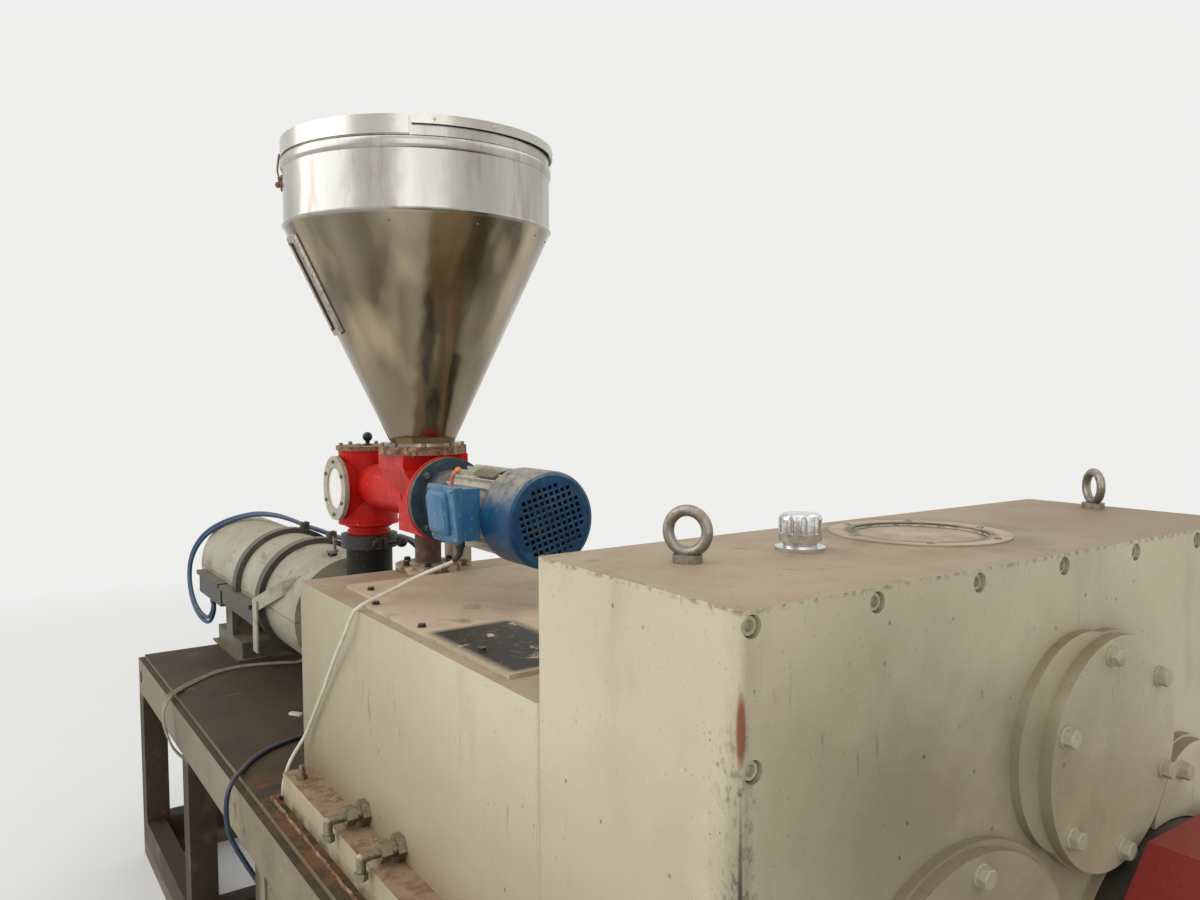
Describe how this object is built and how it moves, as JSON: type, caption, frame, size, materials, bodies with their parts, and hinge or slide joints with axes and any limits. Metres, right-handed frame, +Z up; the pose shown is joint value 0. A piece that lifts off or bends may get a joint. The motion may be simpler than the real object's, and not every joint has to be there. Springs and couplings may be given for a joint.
{
  "type": "plastic extruder",
  "caption": "Conical twin-screw plastic extruder on a stepped steel base, with gearboxes, covered barrel, red screw feeder and a stainless hopper with a hinged half lid.",
  "frame": {"origin": "on the floor, at the middle of the four foundation bolt holes in the floor rails", "axes": "+X along the machine from the die end to the main motor, +Y across it away from the hopper's side, +Z up"},
  "size_m": [4.2887, 1.4782, 2.252],
  "materials": {
    "base_paint": "worn satin paint with dirt and rust",
    "housing_paint": "satin paint, dusty, with specks of dirt",
    "cover_paint": "satin paint, scuffed",
    "dark_steel": "dark oiled steel",
    "feeder_red": "gloss paint with chips",
    "rusty_steel": "bare rusty steel",
    "ring_paint": "satin paint",
    "sight_glass": "clouded",
    "stainless": "polished stainless sheet",
    "motor_blue": "satin paint with dust",
    "guard_red": "satin paint",
    "black_steel": "matt paint",
    "chrome": "polished chrome",
    "bolt_steel": "worn oily steel",
    "white_plastic": "satin, slightly dirty",
    "blue_rubber": "satin, dusty",
    "grey_plastic": "satin, dirty"
  },
  "bodies": {
    "root": {"floor_rails": "base_paint", "cross_rails": "base_paint", "legs": "base_paint", "table_beams": "base_paint", "table_cross_beams": "base_paint", "table_plate": "base_paint", "bed_beams": "base_paint", "bed_plate": "base_paint", "side_panels": "base_paint", "distribution_box": "housing_paint", "access_plates": "housing_paint", "gearbox_housing": "housing_paint", "bearing_covers": "housing_paint", "barrel_foot": "housing_paint", "feeder_post": "housing_paint", "upper_covers": "cover_paint", "lower_covers": "cover_paint", "barrel": "dark_steel", "cover_bands": "dark_steel", "feed_tube": "dark_steel", "clamp_ring": "dark_steel", "input_flange": "dark_steel", "coupling": "dark_steel", "heater_boxes": "dark_steel", "cooling_fan": "dark_steel", "cord_glands": "dark_steel", "cover_bracket": "cover_paint", "inspection_port": "housing_paint", "manifold_block": "housing_paint", "breather_cap": "chrome", "eye_bolts": "bolt_steel", "oil_fittings": "bolt_steel", "feeder_lead": "white_plastic", "table_hose": "blue_rubber", "cooling_hose_1": "blue_rubber", "cooling_hose_2": "blue_rubber", "heater_wire_1": "grey_plastic", "heater_wire_2": "grey_plastic", "heater_wire_3": "grey_plastic", "discharge_body": "feeder_red", "discharge_lid": "feeder_red", "throat_body": "feeder_red", "throat_flange": "rusty_steel", "sight_ring": "ring_paint", "sight_glass": "sight_glass", "hopper_cone": "stainless", "hopper_shell": "stainless", "lid_fixed": "stainless", "hinge_fixed_leaves": "stainless", "feeder_motor": "motor_blue", "fan_cowl": "motor_blue", "terminal_box": "motor_blue", "main_motor": "motor_blue", "coupling_guard": "guard_red", "motor_rails": "black_steel"},
    "lid": {"lid_hinged": "stainless", "hinge_moving_leaves": "stainless"}
  },
  "joints": [
    {"name": "lid_hinge", "type": "hinge", "parent": "root", "child": "lid", "pos_m": [-0.511, -0.288, 2.247], "axis": [0.891, -0.454, 0], "range_deg": [0, 100]}
  ]
}
